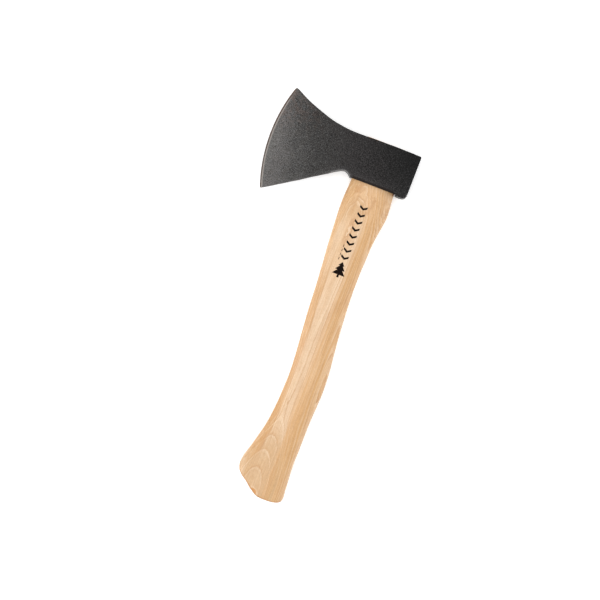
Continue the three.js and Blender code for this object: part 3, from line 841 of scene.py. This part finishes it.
trim_back = pchip([130, 120, 112, 102.5, 93, 80, 72, 64, 55, 45, 35, 26, 16, 0, -31, -45, -60, -75, -88, -98, -110, -126,
                   -136, -146, -165, -175, -183, -196],
                  [-0.1, -0.1, 0.1, 0.5, 0.2, 0.1, 0.2, 0.45, 0.7, 0.5, 0.5, 0.35, 0.5, 0.45, 0.3, 0.4, 0.5, 0.5, 0.3, 0.15,
                   0.3, 0.5, 0.5, 0.25, 0.27, 0.3, 0.6, 0.6])
_front, _back = spline(HAFT[:, 0], HAFT[:, 1]), spline(HAFT[:, 0], HAFT[:, 2])


def haft_front(y):
    return _front(y) + trim_front(y)


def haft_back(y):
    return _back(y) + trim_back(y)



haft_half = pchip(HAFT[:, 0], HAFT[:, 3])
BUTT = np.array([
    [13.5, -161.0], [13.75, -164.6], [14.3, -167.2], [15.8, -170.4], [18.1, -173.2], [21.2, -175.7], [24.1, -177.5],
    [27.1, -179.7], [30.1, -182.4], [33.1, -184.6], [36.3, -186.7], [39.6, -188.5], [43.3, -189.15], [47.1, -189.3],
    [51.0, -189.3], [54.8, -189.05], [58.7, -188.4], [61.2, -187.6], [63.4, -186.2], [64.7, -184.2], [65.15, -181.5],
    [65.35, -178.0], [65.5, -174.0],
])
butt_y = pchip(BUTT[:, 0], BUTT[:, 1])
# distance from the front edge to the soft crease that bounds the sanded flat
crease_at = pchip([130, 60, 20, -20, -60, -95, -108, -120, -130, -140, -150, -200],
                  [5.5, 5.5, 5.6, 6.2, 7.0, 8.0, 8.2, 7.6, 6.2, 4.2, 2.6, 2.0])
crease_on = pchip([130, 60, 25, -5, -110, -135, -150, -170, -200], [0.0, 0.08, 0.35, 1.0, 1.0, 0.9, 0.5, 0.15, 0.1])


def haft_section(y, u):
    """Height above the mid plane at u in -1 (front) .. 1 (back), as a share of
    the half thickness."""
    u = np.asarray(u, float)
    oval = (1 - np.abs(u) ** 2.45) ** (1 / 2.45)
    width = float(haft_back(y) - haft_front(y))
    s = (u + 1) / 2
    sc = float(crease_at(y)) / width
    on = float(crease_on(y))
    # squarer towards the front, so that the flat reaches the crease
    full = (1 - np.abs(u) ** 3.3) ** (1 / 3.3)
    front = np.where(u < 0, full, oval)
    facet = 0.42 + 0.55 * s / max(sc, 1e-3)
    shaped = smin(front, facet, 0.07)
    return oval * (1 - on) + np.maximum(shaped, 0) * on


def haft_point(y, t):
    """Surface point of the haft at angle t: 0 is the back, pi the front."""
    c, s = math.cos(t), math.sin(t)
    f, b, h = float(haft_front(y)), float(haft_back(y)), float(haft_half(y))
    u = math.copysign(abs(c) ** (2 / 2.45), c)
    g = float(haft_section(y, u)) if abs(u) < 1 else 0.0
    return (f + b) / 2 + (b - f) / 2 * u, MID + h * math.copysign(g, s) if s else MID


def haft_top(x, y):
    """Height of the haft's upper surface over (x, y)."""
    f, b, h = float(haft_front(y)), float(haft_back(y)), float(haft_half(y))
    u = (x - (f + b) / 2) / ((b - f) / 2)
    return MID + h * float(haft_section(y, u)) - sand(x, y, 1)


def sand(x, y, side):
    """Hand sanding leaves the faces slightly uneven, always inwards."""
    return 0.06 * (0.5 + 0.5 * wave(x * 0.06, y * 0.03, 0.4, side))


def make_haft():
    sides = 112
    ts = [2 * math.pi * i / sides for i in range(sides)]
    verts, faces, rings, endg, joint_shade = [], [], [], [], []

    def ring(points, e, g=0.0):
        start = len(verts)
        for q in points:
            verts.append(q)
            endg.append(e)
            joint_shade.append(g)
        rings.append(list(range(start, start + len(points))))

    # tongue in the eye, from its sawn top down to the shoulder
    tongue = [
        (170.2, 21.1, 8.65, 0.9), (170.2, 21.35, 8.9, 0.8), (169.9, 21.57, 9.07, 0.5), (168.0, 21.5, 9.0, 0.1),
        (160.3, 21.12, 8.62, 0), (149.3, 20.82, 8.32, 0), (138.3, 21.12, 8.62, 0), (129.0, 21.7, 9.1, 0),
        (127.9, 21.8, 9.2, 0),
    ]
    p = 2.5
    # the two lowest tongue rings, at the mouth of the eye, are painted full shade
    for y, a, b, e in tongue:
        ring([(37.9 + a * math.copysign(abs(math.cos(t)) ** (2 / p), math.cos(t)), y,
               MID + b * math.copysign(abs(math.sin(t)) ** (2 / p), math.sin(t))) for t in ts], e, 1.0 if y < 130 else 0.0)

    def side_ring(y, e=0.0, g=0.0, shrink=0.0):
        pts = []
        for t in ts:
            x, z = haft_point(y, t)
            s = 1 if z >= MID else -1
            fade = min(1.0, abs(z - MID) / 4.0)
            z -= s * sand(x, y, s) * fade
            if shrink:
                cx = (float(haft_front(y)) + float(haft_back(y))) / 2
                x, z = cx + (x - cx) * (1 - shrink / 22), MID + (z - MID) * (1 - shrink / 10)
            pts.append((x, y, z))
        ring(pts, e, g)

    # the rings just under the head fade from painted full shade to none
    side_ring(127.75, 0.0, 1.0, 0.3)
    side_ring(127.65, 0.0, 0.9, 0.1)
    side_ring(127.5, 0.0, 0.5)
    side_ring(127.25, 0.0, 0.10)
    side_ring(126.8, 0.0, 0.0)
    side_ring(126.0, 0.0, 0.0)
    side_ring(124.8, 0.0, 0.0)
    y = 123.6
    while y > -148:
        side_ring(y)
        y -= 1.6
    y0 = -148.0
    # the last rows follow the butt, so each point of the ring runs to its own end
    fillet = []
    for t in ts:
        fillet.append(1.5 + 0.5 * wave(2.2 * math.cos(t), 2.2 * math.sin(t), 0.5, 6.0)
                      + 0.9 * max(0.0, wave(1.6 * math.cos(t) + 3.0, 1.6 * math.sin(t), 2.5, 7.0)))
    ends = []
    for t, c in zip(ts, fillet):
        ye = -170.0
        for _ in range(12):
            x, _z = haft_point(ye, t)
            ye = 0.5 * ye + 0.5 * (float(butt_y(x)) + c)
        ends.append(ye)
    for k in range(1, 17):
        f = k / 16
        pts = []
        for t, ye in zip(ts, ends):
            yy = y0 + (ye - y0) * f
            x, z = haft_point(yy, t)
            s = 1 if z >= MID else -1
            z -= s * sand(x, yy, s) * min(1.0, abs(z - MID) / 4.0)
            pts.append((x, yy, z))
        ring(pts, 0.0)
    rim = [verts[i] for i in rings[-1]]
    cx = 40.0
    # over the rounded corner and in to the middle of the sawn butt
    for q_mm, e in ((0.12, 0.35), (0.3, 0.7), (0.6, 0.9), (1.0, 1.0), (1.5, 1.0), (2.2, 1.0), (3.2, 1), (4.5, 1),
                    (6.5, 1), (9.0, 1)):
        pts = []
        for (x, yy, z), c in zip(rim, fillet):
            dx, dz = x - cx, z - MID
            size = math.hypot(dx, dz)
            keep = max(0.0, 1 - q_mm / size) if size > 0 else 0
            if q_mm > 2.2:
                # spread the inner rings evenly over each spoke
                keep = (1 - 2.2 / size) * (1 - (q_mm - 2.2) / 9.2)
            xn, zn = cx + dx * keep, MID + dz * keep
            gone = min(1.0, q_mm / c)
            lift = c * (1 - math.sqrt(max(0.0, 1 - (1 - gone) ** 2)))
            pts.append((xn, float(butt_y(xn)) + lift, zn))
        ring(pts, e)
    centre = len(verts)
    verts.append((cx, float(butt_y(cx)), MID))
    endg.append(1.0)
    joint_shade.append(0.0)
    for a, b in zip(rings, rings[1:]):
        for i in range(sides):
            j = (i + 1) % sides
            faces.append((a[i], a[j], b[j], b[i]))
    last = rings[-1]
    for i in range(sides):
        faces.append((last[i], last[(i + 1) % sides], centre))
    # sawn top of the tongue
    top = rings[0]
    prev = top
    for f in (0.75, 0.5, 0.25):
        start = len(verts)
        for i in top:
            vx, vy, vz = verts[i]
            verts.append((37.9 + (vx - 37.9) * f, vy, MID + (vz - MID) * f))
            endg.append(1.0)
            joint_shade.append(0.0)
        cur = list(range(start, start + sides))
        for i in range(sides):
            j = (i + 1) % sides
            faces.append((prev[j], prev[i], cur[i], cur[j]))
        prev = cur
    hub = len(verts)
    verts.append((37.9, verts[top[0]][1], MID))
    endg.append(1.0)
    joint_shade.append(0.0)
    for i in range(sides):
        faces.append((prev[(i + 1) % sides], prev[i], hub))
    o = new_object("hardwood_haft", verts, faces)
    point_attribute(o, "endgrain", endg)
    point_attribute(o, "joint_shade", joint_shade)
    cut(o, wedge_prism("kerf", 0.06, True), cross_prism("slot_a", -1, 0.06, True), cross_prism("slot_b", 1, 0.06, True))
    tidy(o, 42)
    o.data.materials.clear()
    o.data.materials.append(wood_material("haft_wood"))
    return o


# ------------------------------------------------------------------- wedges
TOP_Y = 170.2


def prism(name, outline, a, b, axis):
    """outline: [(u, v)] extruded from a to b along axis X or Z."""
    n = len(outline)
    verts = []
    for w in (a, b):
        for u, v in outline:
            verts.append((w, v, u) if axis == "X" else (u, v, w))
    faces = [tuple(range(n)), tuple(range(n, 2 * n))]
    for i in range(n):
        j = (i + 1) % n
        faces.append((i, j, n + j, n + i))
    return new_object(name, verts, faces, smooth=False)


def wedge_prism(name, grow, through):
    depth, top, foot = 34.0, 2.6, 0.5
    y0 = TOP_Y - depth
    slope = (top - foot) / depth
    ylo = y0 - grow * 4
    yhi = TOP_Y + 3 if through else TOP_Y
    half = lambda yy: foot + slope * (yy - y0) + grow
    return prism(name, [(MID - half(ylo), ylo), (MID + half(ylo), ylo), (MID + half(yhi), yhi), (MID - half(yhi), yhi)],
                 37.9 - 30, 37.9 + 30, "X")


def cross_prism(name, side, grow, through):
    top, foot, depth, width, spread = 1.4, 0.35, 19.0, 12.0, 10.5
    x = 37.9 + side * spread
    y0 = TOP_Y - depth
    half = lambda yy: foot + (top - foot) * (yy - y0) / depth + grow
    yhi = TOP_Y + 3 if through else TOP_Y
    ylo = y0 - grow
    right = [(half(ylo), ylo)]
    if not through:
        for b in (5, 9, 13):
            right += [(half(y0 + b), y0 + b), (half(y0 + b) - 0.22, y0 + b + 0.05)]
    right.append((half(yhi), yhi))
    outline = [(x + h, v) for h, v in right] + [(x - h, v) for h, v in reversed(right)]
    return prism(name, outline, MID - width / 2 - grow, MID + width / 2 + grow, "Z")


def bevel_mesh(o, width, segments=2, angle=50):
    m = o.modifiers.new("ease", "BEVEL")
    m.width = width * MM
    m.segments = segments
    m.limit_method = "ANGLE"
    m.angle_limit = math.radians(angle)
    dg = bpy.context.evaluated_depsgraph_get()
    mesh = bpy.data.meshes.new_from_object(o.evaluated_get(dg), depsgraph=dg)
    o.modifiers.clear()
    old = o.data
    o.data = mesh
    bpy.data.meshes.remove(old)


def intersect(o, other):
    m = o.modifiers.new("fit", "BOOLEAN")
    m.operation = "INTERSECT"
    m.solver = "EXACT"
    m.object = other
    dg = bpy.context.evaluated_depsgraph_get()
    mesh = bpy.data.meshes.new_from_object(o.evaluated_get(dg), depsgraph=dg)
    o.modifiers.clear()
    old = o.data
    o.data = mesh
    bpy.data.meshes.remove(old)
    bpy.data.objects.remove(other, do_unlink=True)


def make_wood_wedge():
    o = wedge_prism("kerf_wedge", 0.0, False)
    intersect(o, oval_loft("eye_fit", [(130, 21.55, 8.9), (138.3, 21.12, 8.62), (149.3, 20.82, 8.32), (160.3, 21.12, 8.62),
                                       (TOP_Y + 1, 21.6, 9.1)], 96))
    cut(o, cross_prism("a", -1, 0.06, True), cross_prism("b", 1, 0.06, True))
    bevel_mesh(o, 0.18, 2, 60)
    tidy(o, 35)
    end = [1.0 if v.co.y > (TOP_Y - 0.4) * MM else 0.0 for v in o.data.vertices]
    point_attribute(o, "endgrain", end)
    point_attribute(o, "joint_shade", [0.0] * len(o.data.vertices))
    o.data.materials.clear()
    o.data.materials.append(wood_material("wedge_wood", end=True, tone=(0.82, 0.76, 0.68), turned=True))
    return o


def make_steel_wedge(name, side, mat):
    o = cross_prism(name, side, 0.0, False)
    bevel_mesh(o, 0.16, 2, 40)
    tidy(o, 35)
    o.data.materials.clear()
    o.data.materials.append(mat)
    return o


# -------------------------------------------------------------------- print
def decal(name, polygons, mat):
    """Thin closed plates of ink lying on the haft's upper face. Each polygon is
    a list of (x, y) in mm."""
    verts, faces = [], []
    for poly in polygons:
        # refine the outline so that the plate follows the curve of the wood
        ring = []
        for (x0, y0), (x1, y1) in zip(poly, poly[1:] + poly[:1]):
            k = max(1, int(math.ceil(math.hypot(x1 - x0, y1 - y0) / 0.7)))
            ring += [(x0 + (x1 - x0) * i / k, y0 + (y1 - y0) * i / k) for i in range(k)]
        n = len(ring)
        pts = [Vector(q) for q in ring]
        xs, ys = [q[0] for q in ring], [q[1] for q in ring]
        loop = np.array(ring)

        def inside(q):
            x0, y0 = loop[:, 0], loop[:, 1]
            x1, y1 = np.roll(x0, -1), np.roll(y0, -1)
            hit = ((y0 > q[1]) != (y1 > q[1])) & (q[0] < (x1 - x0) * (q[1] - y0) / (y1 - y0 + 1e-12) + x0)
            if hit.sum() % 2 == 0:
                return False
            dx, dy = x1 - x0, y1 - y0
            s = np.clip(((q[0] - x0) * dx + (q[1] - y0) * dy) / (dx * dx + dy * dy + 1e-12), 0, 1)
            return np.hypot(x0 + s * dx - q[0], y0 + s * dy - q[1]).min() > 0.3

        gx = min(xs) + 0.35
        while gx < max(xs):
            gy = min(ys) + 0.35
            while gy < max(ys):
                if inside((gx, gy)):
                    pts.append(Vector((gx, gy)))
                gy += 0.8
            gx += 0.8
        v2, _, f2, _, _, _ = delaunay_2d_cdt(pts, [(i, (i + 1) % n) for i in range(n)], [], 1, 1e-6)
        base = len(verts)
        m = len(v2)
        for lift in (0.035, -0.06):
            for v in v2:
                verts.append((v.x, v.y, haft_top(v.x, v.y) + lift))
        count = {}
        for f in f2:
            faces.append(tuple(base + i for i in f))
            faces.append(tuple(base + m + i for i in reversed(f)))
            for a, b in zip(f, f[1:] + f[:1]):
                count[(a, b)] = True
        for (a, b) in list(count):
            if (b, a) not in count:
                faces.append((base + b, base + a, base + m + a, base + m + b))
    o = new_object(name, verts, faces)
    tidy(o, 40)
    o.data.materials.clear()
    o.data.materials.append(mat)
    return o


def make_print():
    """A generic ornament: a run of chevrons and a plain fir tree."""
    polys = []
    cx, w, th, tall = 37.2, 3.75, 2.25, 2.3
    y = 106.6
    for _ in range(8):
        polys.append([(cx - w, y), (cx - w, y - th), (cx, y - th - tall), (cx + w, y - th), (cx + w, y), (cx, y - tall)])
        y -= 7.2
    tree = [(0, 49.4), (3.1, 45.4), (1.5, 45.4), (4.9, 41.2), (2.5, 41.2), (6.4, 36.6), (1.0, 36.6), (1.0, 33.9),
            (-1.0, 33.9), (-1.0, 36.6), (-6.4, 36.6), (-2.5, 41.2), (-4.9, 41.2), (-1.5, 45.4), (-3.1, 45.4)]
    polys.append([(cx + a, b) for a, b in tree])
    for k in range(4):
        yy = 65.5 - k * 4.2
        polys.append([(32.0, yy), (32.0, yy - 2.6), (32.55, yy - 2.6), (32.55, yy)])
    return decal("haft_print", polys, ink_material())


# ------------------------------------------------------------------- camera
def make_camera():
    cam = bpy.data.objects.new("camera", bpy.data.cameras.new("camera"))
    scene.collection.objects.link(cam)
    scene.camera = cam
    cam.data.sensor_width = 36.0
    # the photograph looks square down on the cheek, turned by the tilt of the hatchet
    tilt = math.radians(21.03)
    right = Vector((math.cos(tilt), math.sin(tilt), 0))
    up = Vector((-math.sin(tilt), math.cos(tilt), 0))
    width = 0.5738                       # what the frame spans at the mid plane, m
    dist = 5.0
    cam.data.lens = 36.0 * dist / width
    aim = Vector((0.01200, 0.00092, MID * MM))
    from mathutils import Matrix

    m = Matrix((
        (right.x, up.x, 0, 0), (right.y, up.y, 0, 0), (right.z, up.z, 1, 0), (0, 0, 0, 1),
    ))
    m.translation = aim + Vector((0, 0, dist))
    cam.matrix_world = m
    cam.data.clip_start, cam.data.clip_end = 0.05, 50
    cam.data.dof.use_dof = False
    return cam


# ------------------------------------------------------------------- lights
def area(name, place, size, power, aim=(0.0, 0.02, 0.0), color=(1, 1, 1)):
    d = bpy.data.lights.new(name, "AREA")
    d.shape = "RECTANGLE"
    d.size, d.size_y = size
    d.energy = power
    d.color = color
    o = bpy.data.objects.new(name, d)
    scene.collection.objects.link(o)
    o.location = place
    o.rotation_mode = "QUATERNION"
    o.rotation_quaternion = (Vector(aim) - Vector(place)).to_track_quat("-Z", "Y")
    return o


def make_stage():
    bpy.ops.mesh.primitive_plane_add(size=60.0, location=(0, 0, -0.0002))
    floor = bpy.context.object
    floor.name = "floor"
    n = Nodes("floor_white")
    v = n.noise(n.vec("MULTIPLY", n.obj, (0.004, 0.004, 0.004)), 1.0, 2.0, 0.5)
    n.set(color=n.mix(v, (0.86, 0.86, 0.86), (0.88, 0.88, 0.88)), rough=0.9, spec=0.1)
    n.bsdf.inputs["Emission Color"].default_value = (1, 1, 1, 1)
    n.bsdf.inputs["Emission Strength"].default_value = 0.38
    floor.data.materials.append(n.mat)
    w = bpy.data.worlds.new("studio")
    scene.world = w
    w.use_nodes = True
    t = w.node_tree
    t.nodes.clear()
    out = t.nodes.new("ShaderNodeOutputWorld")
    bg = t.nodes.new("ShaderNodeBackground")
    seen = t.nodes.new("ShaderNodeBackground")
    pick = t.nodes.new("ShaderNodeMixShader")
    path = t.nodes.new("ShaderNodeLightPath")
    bg.inputs[0].default_value = (1.0, 1.0, 1.0, 1)
    bg.inputs[1].default_value = 0.42
    seen.inputs[0].default_value = (1, 1, 1, 1)
    seen.inputs[1].default_value = 0.75
    t.links.new(path.outputs["Is Camera Ray"], pick.inputs[0])
    t.links.new(bg.outputs[0], pick.inputs[1])
    t.links.new(seen.outputs[0], pick.inputs[2])
    t.links.new(pick.outputs[0], out.inputs[0])
    # soft boxes all round, the strongest on the side of the edge
    area("overhead", (-0.25, 0.0, 2.6), (2.0, 2.0), 33.0)
    area("key_left", (-1.60, -0.50, 0.75), (0.9, 1.3), 17.0)
    area("fill_right", (1.60, 0.40, 0.70), (0.9, 1.2), 10.0)
    area("fill_head", (-0.35, 1.45, 1.1), (1.2, 0.9), 5.0)
    area("fill_knob", (0.35, -1.5, 1.15), (1.2, 0.9), 6.0)
    scene.view_settings.view_transform = "Standard"
    scene.view_settings.look = "None"
    scene.view_settings.exposure = 0.0
    scene.view_settings.gamma = 1.0


make_camera()
make_stage()

head = make_head()
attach(head, "root")
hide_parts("head")

haft = make_haft()
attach(haft, "root")
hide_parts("haft")

kerf = make_wood_wedge()
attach(kerf, "root")
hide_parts("wood_wedge")

steel = steel_material()
for node, label, side in (("steel_wedge_front", "cross_wedge_front", -1), ("steel_wedge_rear", "cross_wedge_rear", 1)):
    w = make_steel_wedge(label, side, steel)
    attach(w, "root")
    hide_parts(node)

ink = make_print()
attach(ink, "root")

bpy.context.view_layer.update()
